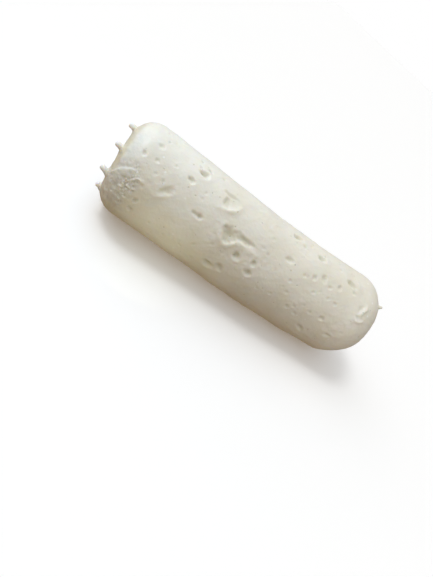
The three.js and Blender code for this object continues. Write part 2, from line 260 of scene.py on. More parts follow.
SMALL_PIT_ANGLES = (75, 235)
SMALL_PIT_SIZES = (1.7, 3.0)
SMALL_PIT_SLIMNESS = (0.7, 1.0)
SMALL_PIT_DEPTH_SHARE = (0.22, 0.36)
SMALL_PIT_TURN = (-90, 90)
FACING_THE_END = 0.9
DRAW_SEED = 20117
DRAW_FACTOR = 48271
DRAW_LIMIT = 2147483647
drawn = DRAW_SEED


def draw(low, high):
    """The next seeded number between two limits."""
    global drawn
    drawn = drawn * DRAW_FACTOR % DRAW_LIMIT
    return low + (high - low) * drawn / DRAW_LIMIT


def outward_at(angle):
    """Direction away from the loaf's axis: 0 degrees is the front and 90 the top."""
    turn = math.radians(angle)
    return np.array([0.0, -math.cos(turn), math.sin(turn)])


def dent_at(point, length, width, depth, turn):
    """A dent as an oval on the skin, with its own two directions."""
    foot, normal = (row[0] for row in skin_at(np.array([point])))
    level = (0.0, 1.0, 0.0) if abs(normal[0]) > FACING_THE_END else (1.0, 0.0, 0.0)
    along = np.array(level) - normal.dot(level) * normal
    along /= np.linalg.norm(along)
    across = np.cross(normal, along)
    angle = math.radians(turn)
    turned_along = math.cos(angle) * along + math.sin(angle) * across
    return {
        "foot": foot,
        "normal": normal,
        "along": turned_along,
        "across": np.cross(normal, turned_along),
        "length": length,
        "width": width,
        "depth": depth,
    }


def side_point(along, angle):
    """A place on the loaf's straight side."""
    return np.array([along, 0.0, 0.0]) + LOAF_RADIUS * outward_at(angle)


def drawn_dent(point, lengths):
    """A dent at a place, of a drawn size and turn."""
    length = draw(*lengths)
    width = length * draw(*DRAWN_SLIMNESS)
    return dent_at(point, length, width, width * draw(*DRAWN_DEPTH_SHARE), draw(*DRAWN_TURN))


dents = [dent_at(side_point(along, angle), *shape) for along, angle, *shape in FRONT_DENTS]
back_dents = []
while len(back_dents) < BACK_DENT_COUNT:
    along = draw(*BACK_DENT_ALONG)
    dent = drawn_dent(side_point(along, draw(*BACK_DENT_ANGLES)), BACK_DENT_LENGTHS)
    gaps = [
        np.linalg.norm(other["foot"] - dent["foot"]) - (other["length"] + dent["length"]) / 2
        for other in back_dents
    ]
    if all(gap > BACK_DENTS_APART for gap in gaps):
        back_dents.append(dent)
dents += back_dents
for side, from_axis in ((-1, DRAIN_DENTS_FROM_AXIS), (1, PLAIN_DENTS_FROM_AXIS)):
    for i in range(END_DENT_COUNT):
        outward = outward_at(360 * i / END_DENT_COUNT + draw(*END_DENT_SWAY))
        point = draw(*from_axis) * outward + np.array([side * HALF_LENGTH, 0.0, 0.0])
        dents.append(drawn_dent(point, END_DENT_LENGTHS))

# The coarse crumbs and hollows of the torn patch lie on a spiral, a crumb after each hollow.
for i in range(CRUMB_COUNT):
    outwards = math.sqrt((i + 0.5) / CRUMB_COUNT)
    turn = i * GOLDEN_ANGLE
    along = CRUMBLE_ALONG + CRUMBLE_REACH[0] * outwards * math.cos(turn)
    angle = CRUMBLE_ANGLE + math.degrees(CRUMBLE_REACH[1] * outwards * math.sin(turn) / LOAF_RADIUS)
    size = draw(*CRUMB_SIZES)
    depth = -CRUMB_HEIGHT if i % 2 else HOLLOW_DEPTH
    dents.append(dent_at(side_point(along, angle), size, size, depth, draw(*CRUMB_TURN)))

# The sways of the pegs are drawn before the small pits, which keeps the draws in the solid's order.
peg_sways = [(draw(*PEG_SWAY), draw(*PEG_SWAY)) for _ in range(PEG_COUNT)]
for _ in range(SMALL_PIT_COUNT):
    along = draw(*SMALL_PIT_ALONG)
    angle = draw(*SMALL_PIT_ANGLES)
    size = draw(*SMALL_PIT_SIZES)
    slim = size * draw(*SMALL_PIT_SLIMNESS)
    depth = size * draw(*SMALL_PIT_DEPTH_SHARE)
    dents.append(dent_at(side_point(along, angle), size, slim, depth, draw(*SMALL_PIT_TURN)))
for along, angle, size, depth in FRONT_PITS:
    dents.append(dent_at(side_point(along, angle), size * FRONT_PIT_STRETCH, size, depth, 0))

NOISE_FALLOFF = 1.0
NOISE_REFINEMENT = 2.0
NOISE_SHIFT = (17.3, 7.9, 3.1)


def noise_over(points, size, seed, octaves):
    """Smooth seeded noise from about -1 to 1, with lumps of the given size."""
    shift = Vector([seed * step for step in NOISE_SHIFT])
    return np.array(
        [
            noise.fractal(Vector(point) / size + shift, NOISE_FALLOFF, NOISE_REFINEMENT, octaves)
            for point in points
        ]
    )


def smooth_rise(value, start, end):
    """Rises smoothly from 0 at start to 1 at end."""
    share = np.clip((value - start) / (end - start), 0.0, 1.0)
    return share * share * (3 - 2 * share)


# Each dent is sunk as a bowl with a wandering outline. It is deeper on its near side, and has a low
# lip on its far side. Its hollow is darkened with painted shade, more for deeper dents and most on
# the near side, away from the light. Places in it are shares of its own half length and half width.
WOBBLE_SIZE = 5.0
WOBBLE_SHARE = 0.2
GRAIN_SIZE = 2.6
DENT_SPAN_SHARE = 0.9
DENT_SPAN_MARGIN = 2
BOWL_FLOOR = 0.25
BOWL_RIM = 1.12
BOWL_MIDDLE = 0.1
BOWL_UNEVENNESS = 0.12
NEAR_DEEPENING = 0.3
FAR_SIDE = (0.75, -0.66)
LIP_PLACE = 1.2
LIP_SPREAD = 0.3
LIP_HEIGHT = 0.03
FAR_LIP_HEIGHT = 0.13
FULL_LIP_LENGTH = 7.0
SHADE_FROM_DEPTH = 0.3
SHADE_DEPTH_SPAN = 1.5
SHADE_SHARE = 0.8
FAR_SIDE_SHADE = 0.2
wobble = np.column_stack([noise_over(feet, WOBBLE_SIZE, seed=seed, octaves=2) for seed in (1, 2, 3)])
grain = noise_over(feet, GRAIN_SIZE, seed=4, octaves=2)
deepest = np.zeros(len(feet))
highest = np.zeros(len(feet))
shade_and_stain = np.zeros(len(feet))
for dent in dents:
    offset = feet - dent["foot"]
    slim = min(dent["width"], dent["length"])
    span = DENT_SPAN_SHARE * max(dent["length"], dent["width"]) + DENT_SPAN_MARGIN
    near = np.flatnonzero(np.linalg.norm(offset, axis=1) < span)
    wandering = offset[near] + wobble[near] * slim * WOBBLE_SHARE
    along = wandering @ dent["along"] / (dent["length"] / 2)
    across = wandering @ dent["across"] / (dent["width"] / 2)
    outwards = np.sqrt(along**2 + across**2 + (wandering @ dent["normal"] / (slim / 2)) ** 2)
    bowl = 1 - smooth_rise(outwards, BOWL_FLOOR, BOWL_RIM)
    if dent["depth"] < 0:
        highest[near] = np.maximum(highest[near], -dent["depth"] * bowl)
        continue
    towards_far_side = FAR_SIDE[0] * along + FAR_SIDE[1] * across
    far_side = np.clip(towards_far_side / np.maximum(outwards, BOWL_MIDDLE), -1, 1)
    uneven = 1 - NEAR_DEEPENING * np.minimum(outwards, 1) * far_side + BOWL_UNEVENNESS * grain[near]
    deepest[near] = np.hypot(deepest[near], dent["depth"] * bowl * uneven)
    far_lip = FAR_LIP_HEIGHT * min(1.0, FULL_LIP_LENGTH / dent["length"])
    lip_height = LIP_HEIGHT + far_lip * np.maximum(far_side, 0)
    lip = lip_height * np.exp(-(((outwards - LIP_PLACE) / LIP_SPREAD) ** 2))
    highest[near] = np.maximum(highest[near], dent["depth"] * lip)
    # Painted shade in the hollow: darker for deeper dents, and most on the near side, away from the light.
    depth_share = np.clip((dent["depth"] - SHADE_FROM_DEPTH) / SHADE_DEPTH_SPAN, 0.0, 1.0)
    shading = depth_share * bowl * (SHADE_SHARE - FAR_SIDE_SHADE * far_side)
    shade_and_stain[near] = np.maximum(shade_and_stain[near], shading)

# The ridges are raised along lines on the unrolled skin, and fade towards their ends.
# Neither they nor the lips stand up inside a dent.
RIDGE_WANDER = 0.6
RIDGE_CRUMBLING = 0.35
RIDGE_END_FADE = 0.12
LOST_IN_DENT = (0.15, 0.7)
around = np.degrees(np.arctan2(feet[:, 2], -feet[:, 1]))
unrolled = np.column_stack([feet[:, 0], np.radians(around) * LOAF_RADIUS])
for height, breadth_above, breadth_below, stations in RIDGES:
    bends = [np.array([along, math.radians(angle) * LOAF_RADIUS]) for along, angle in stations]
    nearest = np.full(len(feet), np.inf)
    fading = np.zeros(len(feet))
    breadth = np.ones(len(feet))
    for i, (start, end) in enumerate(zip(bends, bends[1:])):
        step = end - start
        offset = unrolled + RIDGE_WANDER * wobble[:, :2] - start
        share = np.clip(offset @ step / step.dot(step), 0.0, 1.0)
        distance = np.linalg.norm(offset - share[:, None] * step, axis=1)
        closer = distance < nearest
        above = step[0] * offset[closer, 1] - step[1] * offset[closer, 0] > 0
        nearest[closer] = distance[closer]
        breadth[closer] = np.where(above, breadth_above, breadth_below)
        run = (i + share[closer]) / (len(bends) - 1)
        fading[closer] = np.sin(np.pi * (RIDGE_END_FADE + (1 - 2 * RIDGE_END_FADE) * run))
    crumbled_height = height * fading * (1 + RIDGE_CRUMBLING * grain)
    highest = np.maximum(highest, crumbled_height * np.exp(-((nearest / breadth) ** 2)))
relief = highest * (1 - smooth_rise(deepest, *LOST_IN_DENT)) - deepest


# The crumbly patch beside the drain end: there the skin stuck to the mould and tore off.
# It lies a little lower than the skin, is rough with curd crumbs, and its upper edge is a torn flap.
# Whey has stained the skin below it in streaks.
PATCH_DEPTH = 0.3
PATCH_WOBBLE = (0.45, 0.3)
PATCH_FADE = (0.35, 1.2)
FLAP_ALONG = -108.5
FLAP_ANGLE = 20.5
FLAP_TURN = math.radians(38)
FLAP_REACH = (9.0, 4.8)
FLAP_WOBBLE = 0.3
FLAP_FADE = (0.6, 1.1)
FLAP_COVER = 0.9
CRUMBS_ALONG = -102.3
CRUMBS_ANGLE = 13.0
CRUMBS_REACH = (5.8, 13.5)
CRUMBS_WOBBLE = 0.4
CRUMBS_FADE = (0.5, 1.2)
CRUMBS_BARENESS = 0.9
LEAST_BARENESS = 0.4
BARE_SPOT_SIZE = 8.0
BARE_SPOT_RISE = (-0.2, 0.4)
FINE_CRUMB_SIZE = 1.7
FINE_CRUMB_HEIGHT = 0.65
SMOOTH_SHARE = 0.3
CRUMB_PIT_SIZE = 1.5
CRUMB_PIT_RISE = (0.2, 0.5)
CRUMB_PIT_DEPTH = 0.6
CRUMB_PIT_SHADE = 0.9
STAIN_ALONG = -105.0
STAIN_REACH = 4.0
STAIN_STARTS_BELOW = (-8.0, 12.0)
STAIN_ENDS_BELOW = (45.0, 75.0)
STAIN_SHARE = 0.7
STREAK_SIZE = 3.0
STREAK_STRETCH = np.array([1.0, 0.3, 0.3])
STREAK_RISE = (-0.25, 0.3)
patch_along = (feet[:, 0] - PATCH_ALONG) / PATCH_REACH[0]
patch_round = np.radians(around - PATCH_ANGLE) * LOAF_RADIUS / PATCH_REACH[1]
patch_edge = (
    np.hypot(patch_along, patch_round)
    + PATCH_WOBBLE[0] * wobble[:, 0]
    + PATCH_WOBBLE[1] * wobble[:, 1]
)
crumbly = 1 - smooth_rise(patch_edge, *PATCH_FADE)
from_flap = unrolled - np.array([FLAP_ALONG, math.radians(FLAP_ANGLE) * LOAF_RADIUS])
flap_along = from_flap @ np.array([math.cos(FLAP_TURN), math.sin(FLAP_TURN)]) / FLAP_REACH[0]
flap_across = from_flap @ np.array([-math.sin(FLAP_TURN), math.cos(FLAP_TURN)]) / FLAP_REACH[1]
flap = 1 - smooth_rise(np.hypot(flap_along, flap_across) + FLAP_WOBBLE * wobble[:, 0], *FLAP_FADE)
crumbs_along = (feet[:, 0] - CRUMBS_ALONG) / CRUMBS_REACH[0]
crumbs_round = np.radians(around - CRUMBS_ANGLE) * LOAF_RADIUS / CRUMBS_REACH[1]
crumbs_edge = np.hypot(crumbs_along, crumbs_round) + CRUMBS_WOBBLE * wobble[:, 1]
crumbling = 1 - smooth_rise(crumbs_edge, *CRUMBS_FADE)
bare_spots = smooth_rise(noise_over(feet, BARE_SPOT_SIZE, seed=8, octaves=2), *BARE_SPOT_RISE)
bareness = crumbly * (LEAST_BARENESS + (1 - LEAST_BARENESS) * bare_spots)
bareness = np.maximum(bareness, CRUMBS_BARENESS * crumbling) * (1 - FLAP_COVER * flap)
crumb_share = SMOOTH_SHARE + (1 - SMOOTH_SHARE) * crumbling
crumbs = noise_over(feet, FINE_CRUMB_SIZE, seed=5, octaves=3)
relief += bareness * crumb_share * FINE_CRUMB_HEIGHT * crumbs - crumbly * PATCH_DEPTH
pitted = smooth_rise(noise_over(feet, CRUMB_PIT_SIZE, seed=11, octaves=2), *CRUMB_PIT_RISE)
crumb_pits = bareness * crumb_share * pitted
relief -= CRUMB_PIT_DEPTH * crumb_pits
stain_along = np.exp(-(((feet[:, 0] - STAIN_ALONG) / STAIN_REACH) ** 2))
stain_round = smooth_rise(-around, *STAIN_STARTS_BELOW) * (1 - smooth_rise(-around, *STAIN_ENDS_BELOW))
streaks = smooth_rise(noise_over(feet * STREAK_STRETCH, STREAK_SIZE, seed=12, octaves=2), *STREAK_RISE)
# The whey streaks are stored with the painted shade of the dents, and take the same tone.
shade_and_stain = np.maximum(shade_and_stain, STAIN_SHARE * stain_along * stain_round * streaks)
# The pits among the crumbs are darkened with painted shade.
shade_and_stain = np.maximum(shade_and_stain, CRUMB_PIT_SHADE * crumb_pits)


# The skin between the dents: curd that took the print of the mould's wall, and shrank as it cooled.
# It is slightly lumpy everywhere, and some stretches of it are rougher than others.
LUMP_HEIGHT = 0.24
LUMP_SIZE = 16.0
RIPPLE_HEIGHT = 0.12
RIPPLE_SIZE = 5.0
ROUGH_HEIGHT = 0.25
ROUGH_GRAIN_SIZE = 3.4
ROUGH_STRETCH_SIZE = 30.0
ROUGH_STRETCH_RISE = (-0.1, 0.35)
lumps = LUMP_HEIGHT * noise_over(feet, LUMP_SIZE, seed=6, octaves=2)
ripples = RIPPLE_HEIGHT * noise_over(feet, RIPPLE_SIZE, seed=7, octaves=3)
relief += lumps + ripples
rough_skin = smooth_rise(noise_over(feet, ROUGH_STRETCH_SIZE, seed=9, octaves=2), *ROUGH_STRETCH_RISE)
relief += ROUGH_HEIGHT * rough_skin * noise_over(feet, ROUGH_GRAIN_SIZE, seed=10, octaves=2)


# The sag: the soft loaf has bowed under its own weight, one end is drawn back at its lower edge,
# and a narrow flat has formed where it rests. Gentle waves run over the whole skin.
# Each wave: its height, its length along the loaf, its count of lobes round it, and its phase.
WAVES = ((0.3, 96, 2, 0.6), (0.22, 61, 3, 2.1), (0.16, 37, 5, 4.0))
SAG_DEPTH = 3.4
SAG_PLACE = 21
SAG_REACH = 130
SAG_LEAN = 30
PLAIN_END_DRAWN_BACK = 11.0
DRAWN_BACK_FROM = 78
REST_FLAT_DEPTH = 0.9
leaning_up = outward_at(90 + SAG_LEAN)


def wave_height(feet):
    """Height of the gentle waves of the moulded skin."""
    angle = np.arctan2(feet[:, 2], -feet[:, 1])
    share = np.hypot(feet[:, 1], feet[:, 2]) / LOAF_RADIUS
    return share * sum(
        height * np.sin(2 * np.pi * feet[:, 0] / length + phase) * np.cos(lobes * angle + phase)
        for height, length, lobes, phase in WAVES
    )


def sagged(places, along):
    """Places on the straight loaf, as they lie on the sagged one."""
    low_side = np.maximum(0.0, -(places @ leaning_up) / LOAF_RADIUS)
    share = np.clip((along - DRAWN_BACK_FROM) / (HALF_LENGTH - DRAWN_BACK_FROM), 0.0, 1.0)
    towards_end = share**3 * (share * (share * 6 - 15) + 10)
    from_sag = np.minimum(1.0, np.abs(along - SAG_PLACE) / SAG_REACH)
    sag = SAG_DEPTH * (1 + np.cos(np.pi * from_sag)) / 2
    moved = places - sag[:, None] * leaning_up
    moved[:, 0] -= PLAIN_END_DRAWN_BACK * towards_end * low_side**3
    moved[:, 2] += LOAF_RADIUS + SAG_DEPTH * leaning_up[2] - REST_FLAT_DEPTH
    moved[:, 2] = np.maximum(0.0, moved[:, 2])
    return moved


# The pegs: curd squeezed out through the ring of drain holes in the mould's base, each with a bulb tip.
# A finer spike of curd stands on the rounded edge of the other end. All of them are one with the loaf.
PEG_RING_RADIUS = 26.0
FIRST_PEG_ANGLE = -1.5
PEG_HEIGHTS = (6.5, 5.4, 5.4, 1.8, 2.6, 3.0, 2.0, 4.0)
PEG_NECK = 2.0
PEG_BULB = 2.15
PEG_FOOT = 2.9
PEG_ROOT = 2.0
PEG_LEAN = (0.12, 0.25)
PEG_TILT = 7.0
PEG_SIDES = 24
MOUND_HEIGHT = 1.1
MOUND_REACH = 3.6
SPIKE_ANGLE = 79
SPIKE_ROLL = math.radians(52)
SPIKE_HEIGHT = 3.3
SPIKE_NECK = 1.5
SPIKE_BULB = 1.1
SPIKE_FOOT = 2.2
# Shares of a peg's own radii and height, from its foot up to its tip.
FOOT_AT_SKIN = 0.9
FLARE_WIDTH = 1.1
FLARE_UP = 0.2
NECK_UP = 0.45
BULB_DOWN = 0.95
SHOULDER_WIDTH = 0.95
SHOULDER_DOWN = 0.3
TIP_FLAT = 0.55
PEG_ROUNDING = 0.3
PEG_ROUNDING_STEPS = 4
# A peg pales over this height past the end of the loaf, and its foot has some of the rim's warm tone.
PEG_PALE_FROM = (0.0, 3.5)
PEG_FOOT_WARMTH = 0.6


def on_loaf(point):
    """A place on the plain skin, as it lies on the finished loaf."""
    foot, normal = skin_at(np.array([point]))
    return sagged(foot + normal * wave_height(foot)[:, None], foot[:, 0])[0]


def add_peg(form, place, direction, height, neck, bulb, foot):
    """Turns one peg or spike, and sets it on the loaf. A short one has lost its bulb, and tapers."""
    tip = min(bulb, height / 2)
    outline = (
        (0.0, -PEG_ROOT),
        (foot, -PEG_ROOT),
        (foot * FOOT_AT_SKIN, 0.0),
        (neck * FLARE_WIDTH, height * FLARE_UP),
        (neck, height * NECK_UP),
        (tip, height - tip * BULB_DOWN),
        (tip * SHOULDER_WIDTH, height - tip * SHOULDER_DOWN),
        (tip * TIP_FLAT, height),
        (0.0, height),
    )
    peg = bmesh.new()
    verts = [peg.verts.new((out, 0.0, up)) for out, up in outline]
    for first, second in zip(verts, verts[1:]):
        peg.edges.new((first, second))
    bmesh.ops.bevel(
        peg,
        geom=verts[2:-1],
        offset=tip * PEG_ROUNDING,
        offset_type="OFFSET",
        affect="VERTICES",
        segments=PEG_ROUNDING_STEPS,
        profile=0.5,
        clamp_overlap=True,
        material=-1,
    )
    bmesh.ops.spin(
        peg,
        geom=peg.verts[:] + peg.edges[:],
        cent=(0, 0, 0),
        axis=(0, 0, 1),
        angle=2 * math.pi,
        steps=PEG_SIDES,
        use_merge=True,
    )
    bmesh.ops.remove_doubles(peg, verts=peg.verts[:], dist=MERGE_DISTANCE)
    bmesh.ops.recalc_face_normals(peg, faces=peg.faces[:])
    turned = Vector(direction).to_track_quat("Z", "Y").to_matrix().to_4x4()
    bmesh.ops.transform(peg, matrix=Matrix.Translation(place) @ turned, verts=peg.verts[:])
    bmesh.ops.scale(peg, vec=(MM, MM, MM), verts=peg.verts[:])
    peg_mesh = bpy.data.meshes.new("one_peg")
    peg.to_mesh(peg_mesh)
    peg.free()
    form.from_mesh(peg_mesh)
    bpy.data.meshes.remove(peg_mesh)


def store_values(mesh, values_by_name):
    """Stores values on a mesh's points, by name, for the curd's colours."""
    for name, values in values_by_name.items():
        layer = mesh.attributes.new(name, "FLOAT", "POINT")
        layer.data.foreach_set("value", values)


pegs_form = bmesh.new()
sway = math.tan(math.radians(PEG_TILT))
for i, height in enumerate(PEG_HEIGHTS):
    foot = PEG_RING_RADIUS * outward_at(FIRST_PEG_ANGLE + 360 * i / PEG_COUNT)
    foot[0] = -HALF_LENGTH
    direction = (-1.0, PEG_LEAN[0] + sway * peg_sways[i][0], PEG_LEAN[1] + sway * peg_sways[i][1])
    add_peg(pegs_form, on_loaf(foot), direction, height, PEG_NECK, PEG_BULB, PEG_FOOT)
    distance = np.linalg.norm(feet - skin_at(np.array([foot]))[0], axis=1)
    relief += MOUND_HEIGHT * np.exp(-((distance / MOUND_REACH) ** 2))
spike_normal = math.cos(SPIKE_ROLL) * outward_at(SPIKE_ANGLE)
spike_normal[0] = math.sin(SPIKE_ROLL)
spike_foot = (LOAF_RADIUS - PLAIN_EDGE_RADIUS) * outward_at(SPIKE_ANGLE)
spike_foot[0] = HALF_LENGTH - PLAIN_EDGE_RADIUS
spike_foot += PLAIN_EDGE_RADIUS * spike_normal
add_peg(pegs_form, on_loaf(spike_foot), spike_normal, SPIKE_HEIGHT, SPIKE_NECK, SPIKE_BULB, SPIKE_FOOT)
pegs_mesh = bpy.data.meshes.new("pegs")
pegs_form.to_mesh(pegs_mesh)
pegs_form.free()
past_end = np.array([-vertex.co.x / MM - HALF_LENGTH for vertex in pegs_mesh.vertices])
peg_tip = smooth_rise(past_end, *PEG_PALE_FROM)
peg_foot = np.where(past_end > -HALF_LENGTH, PEG_FOOT_WARMTH * (1 - peg_tip), 0.0)
store_values(pegs_mesh, {"drain_edge": peg_foot, "peg_tip": peg_tip})
pegs = bpy.data.objects.new("pegs", pegs_mesh)
bpy.context.scene.collection.objects.link(pegs)


# The rim of the drain end: the curd lay against the mould's base there, and has dried to a warmer tone.
# The torn patch runs over the rim on the front. From the patch up, the skin beside the rim is greyed
# with painted shade, which goes on with the flap's grey tone.
RIM_ALONG = (-115.8, -113.2)
RIM_FROM_AXIS = (18.0, 26.0)
TORN_RIM_FROM = (-75.0, -50.0)
TORN_RIM_TO = (0.0, 22.0)
TORN_RIM_SHARE = 0.9
RIM_SIDE_SHADE_ALONG = (-111.5, -102.0)
RIM_SIDE_SHADE_FROM = (-15.0, 5.0)
RIM_SIDE_SHADE_TO = (62.0, 80.0)
drain_edge = 1 - smooth_rise(feet[:, 0] + wobble[:, 1], *RIM_ALONG)
drain_edge *= smooth_rise(np.hypot(feet[:, 1], feet[:, 2]), *RIM_FROM_AXIS)
torn_rim = smooth_rise(around, *TORN_RIM_FROM) * (1 - smooth_rise(around, *TORN_RIM_TO))
drain_edge *= 1 - TORN_RIM_SHARE * torn_rim
# The skin beside the rim is greyed with painted shade.
rim_side_shade = (1 - smooth_rise(feet[:, 0], *RIM_SIDE_SHADE_ALONG)) * (1 - drain_edge)
rim_side_shade *= smooth_rise(around, *RIM_SIDE_SHADE_FROM) * (1 - smooth_rise(around, *RIM_SIDE_SHADE_TO))


# The finished loaf: skin, patch and pegs are one piece of curd, so the pegs are fused into the body.
# What each spot of the skin is like, with the painted shade of its dents, pits and rim side,
# stays on the points of its mesh, for the colours of the curd.
places = sagged(feet + normals * (wave_height(feet) + relief)[:, None], feet[:, 0])
loaf_mesh.vertices.foreach_set("co", (places * MM).ravel())
skin_values = {
    # Painted shade of the dents and crumb pits, with the whey streaks.
    "shade_and_stain": shade_and_stain,
    "bareness": bareness,
    "crumbling": crumbling,
    # The flap's own grey tone, and the painted shade on the skin beside the rim.
    "flap": np.maximum(flap, rim_side_shade),
    "drain_edge": drain_edge,
}
store_values(loaf_mesh, skin_values)
loaf_mesh.update()
loaf = bpy.data.objects.new("loaf_curd", loaf_mesh)
bpy.context.scene.collection.objects.link(loaf)
fusing = loaf.modifiers.new("fused_pegs", "BOOLEAN")
fusing.operation = "UNION"
fusing.solver = "MANIFOLD"
fusing.object = pegs
fused = bpy.data.meshes.new_from_object(loaf.evaluated_get(bpy.context.evaluated_depsgraph_get()))
loaf.modifiers.clear()
loaf.data = fused
bpy.data.objects.remove(pegs)
for used_mesh in (pegs_mesh, loaf_mesh):
    bpy.data.meshes.remove(used_mesh)
fused.name = "loaf_curd"
fused.polygons.foreach_set("use_smooth", np.ones(len(fused.polygons), dtype=bool))

# The surface is moist ivory curd that lets light in a little way, with a satin sheen.
# It is slightly uneven in colour and gloss, and has fine pores darkened with painted shade.
IVORY = (0.835, 0.818, 0.745, 1)
CREAM = (0.79, 0.765, 0.668, 1)
CREAM_CLOUDS = (0.35, 0.68)
EDGE_TONE = (0.71, 0.67, 0.54, 1)
# The olive tone of painted shade in the dents and crumb pits, also used for the whey streaks.
SHADE_AND_STAIN_TONE = (0.62, 0.595, 0.42, 1)
SHADE_AND_STAIN_SHARE = 0.66
# The flap's grey tone, also used for painted shade on the skin beside the drain rim.
FLAP_AND_SHADE_TONE = (0.72, 0.73, 0.685, 1)
FLAP_AND_SHADE_SHARE = 0.7
TORN_TONE = (0.655, 0.63, 0.59, 1)
TORN_TONE_SHARE = 0.75
CRUMBLED_TONE = (0.7, 0.69, 0.62, 1)
PALE_CRUMB = (0.92, 0.915, 0.88, 1)
PALE_CRUMB_CLOUDS = (0.47, 0.62)
SPECK_TONE = (0.24, 0.235, 0.19, 1)
SPECK_TONE_SHARE = 0.9
SPECKS = {"scale": 430, "reach": 0.38, "share": 0.34}
PEG_TONE = (0.95, 0.945, 0.93, 1)
# Painted shade in the fine pores.
PORE_SHADE_TONE = (0.5, 0.47, 0.37, 1)
PORE_SHADE_SHARE = 0.5
PORES = {"scale": 190, "reach": 0.15, "share": 0.4}
FLECK_TONE_SHARE = 0.8
FLECKS = {"scale": 150, "reach": 0.16, "share": 0.22}
SPOT_CORE = 0.5
SPOT_CHOICE_BLUR = 0.02
GLOSS_CLOUDS = (0.3, 0.7)
CURD_ROUGHNESS = (0.36, 0.52)

curd = bpy.data.materials.new("moist_curd")
curd.use_nodes = True
curd_tree = curd.node_tree
shader = curd_tree.nodes["Principled BSDF"]
shader.inputs["IOR"].default_value = 1.42
shader.inputs["Subsurface Weight"].default_value = 0.7
shader.inputs["Subsurface Radius"].default_value = (1.0, 0.8, 0.55)
shader.inputs["Subsurface Scale"].default_value = 0.003
shader.inputs["Coat Weight"].default_value = 0.22
shader.inputs["Coat Roughness"].default_value = 0.25


def curd_node(kind, **inputs):
    """Adds a node to the curd and sets its named inputs."""
    node = curd_tree.nodes.new(kind)
    for name, value in inputs.items():
        node.inputs[name].default_value = value
    return node


def mixed(tree, first, second, amount):
    """Blends from the first colour to the second by an amount that varies."""
    mix = tree.nodes.new("ShaderNodeMix")
    mix.data_type = "RGBA"
    tree.links.new(amount, mix.inputs["Factor"])
    for socket, colour in ((mix.inputs["A"], first), (mix.inputs["B"], second)):
        if isinstance(colour, tuple):
            socket.default_value = colour
        else:
            tree.links.new(colour, socket)
    return mix.outputs["Result"]


def ranged(tree, value, low=0.0, high=1.0, to_low=0.0, to_high=1.0):
    """Maps a value from one range onto another, and holds it there."""
    node = tree.nodes.new("ShaderNodeMapRange")
    tree.links.new(value, node.inputs["Value"])
    for name, limit in (("From Min", low), ("From Max", high), ("To Min", to_low), ("To Max", to_high)):
        node.inputs[name].default_value = limit
    return node.outputs["Result"]


place = curd_tree.nodes.new("ShaderNodeTexCoord").outputs["Object"]


def speckle(scale, detail):
    """Procedural noise over the loaf, with lumps of 1/scale metres."""
    node = curd_node("ShaderNodeTexNoise", Scale=scale, Detail=detail)
    curd_tree.links.new(place, node.inputs["Vector"])
    return node.outputs["Fac"]


def surface_value(name, most=1.0):
    """A value stored on the loaf's own points, scaled so that it reaches the most at 1."""
    node = curd_tree.nodes.new("ShaderNodeAttribute")
    node.attribute_name = name
    return ranged(curd_tree, node.outputs["Fac"], to_high=most)


def spots(scale, reach, share):
    """Small round spots, one in a share of the cells of a procedural pattern."""
    cells = curd_node("ShaderNodeTexVoronoi", Scale=scale)
    curd_tree.links.new(place, cells.inputs["Vector"])
    chosen = curd_tree.nodes.new("ShaderNodeSeparateColor")
    curd_tree.links.new(cells.outputs["Color"], chosen.inputs["Color"])
    both = curd_tree.nodes.new("ShaderNodeMath")
    both.operation = "MULTIPLY"
    round_spot = ranged(curd_tree, cells.outputs["Distance"], reach * SPOT_CORE, reach, 1.0, 0.0)
    in_share = ranged(curd_tree, chosen.outputs["Red"], share, share + SPOT_CHOICE_BLUR, 1.0, 0.0)
    curd_tree.links.new(round_spot, both.inputs[0])
    curd_tree.links.new(in_share, both.inputs[1])
    return both.outputs[0]


pores = spots(**PORES)
specks = ranged(curd_tree, spots(**SPECKS), to_high=SPECK_TONE_SHARE)
pale_crumbs = ranged(curd_tree, speckle(scale=520, detail=3), *PALE_CRUMB_CLOUDS)
crumbled = mixed(curd_tree, CRUMBLED_TONE, PALE_CRUMB, pale_crumbs)
crumbled = mixed(curd_tree, crumbled, SPECK_TONE, specks)
torn = mixed(curd_tree, TORN_TONE, crumbled, surface_value("crumbling"))
tone = mixed(curd_tree, IVORY, CREAM, ranged(curd_tree, speckle(scale=48, detail=4), *CREAM_CLOUDS))
# Tones laid over the curd: the rim's warm tone, painted shade in dents and pits with the whey streaks, the
# flap's grey with painted shade beside the rim, the torn patch, pale peg tips, pores darkened with painted
# shade, and pale flecks.
for layer_tone, amount in (
    (EDGE_TONE, surface_value("drain_edge")),
    (SHADE_AND_STAIN_TONE, surface_value("shade_and_stain", SHADE_AND_STAIN_SHARE)),
    (FLAP_AND_SHADE_TONE, surface_value("flap", FLAP_AND_SHADE_SHARE)),
    (torn, surface_value("bareness", TORN_TONE_SHARE)),
    (PEG_TONE, surface_value("peg_tip")),
    (PORE_SHADE_TONE, ranged(curd_tree, pores, to_high=PORE_SHADE_SHARE)),
    (PALE_CRUMB, ranged(curd_tree, spots(**FLECKS), to_high=FLECK_TONE_SHARE)),
):
    tone = mixed(curd_tree, tone, layer_tone, amount)
curd_tree.links.new(tone, shader.inputs["Base Color"])
gloss = ranged(curd_tree, speckle(scale=140, detail=4), *GLOSS_CLOUDS, *CURD_ROUGHNESS)
curd_tree.links.new(gloss, shader.inputs["Roughness"])
pore_bump = curd_node("ShaderNodeBump", Strength=0.6, Distance=0.0005)
pore_bump.invert = True
curd_tree.links.new(pores, pore_bump.inputs["Height"])
grain_bump = curd_node("ShaderNodeBump", Strength=0.6, Distance=0.0006)
curd_tree.links.new(speckle(scale=420, detail=5), grain_bump.inputs["Height"])
curd_tree.links.new(pore_bump.outputs["Normal"], grain_bump.inputs["Normal"])
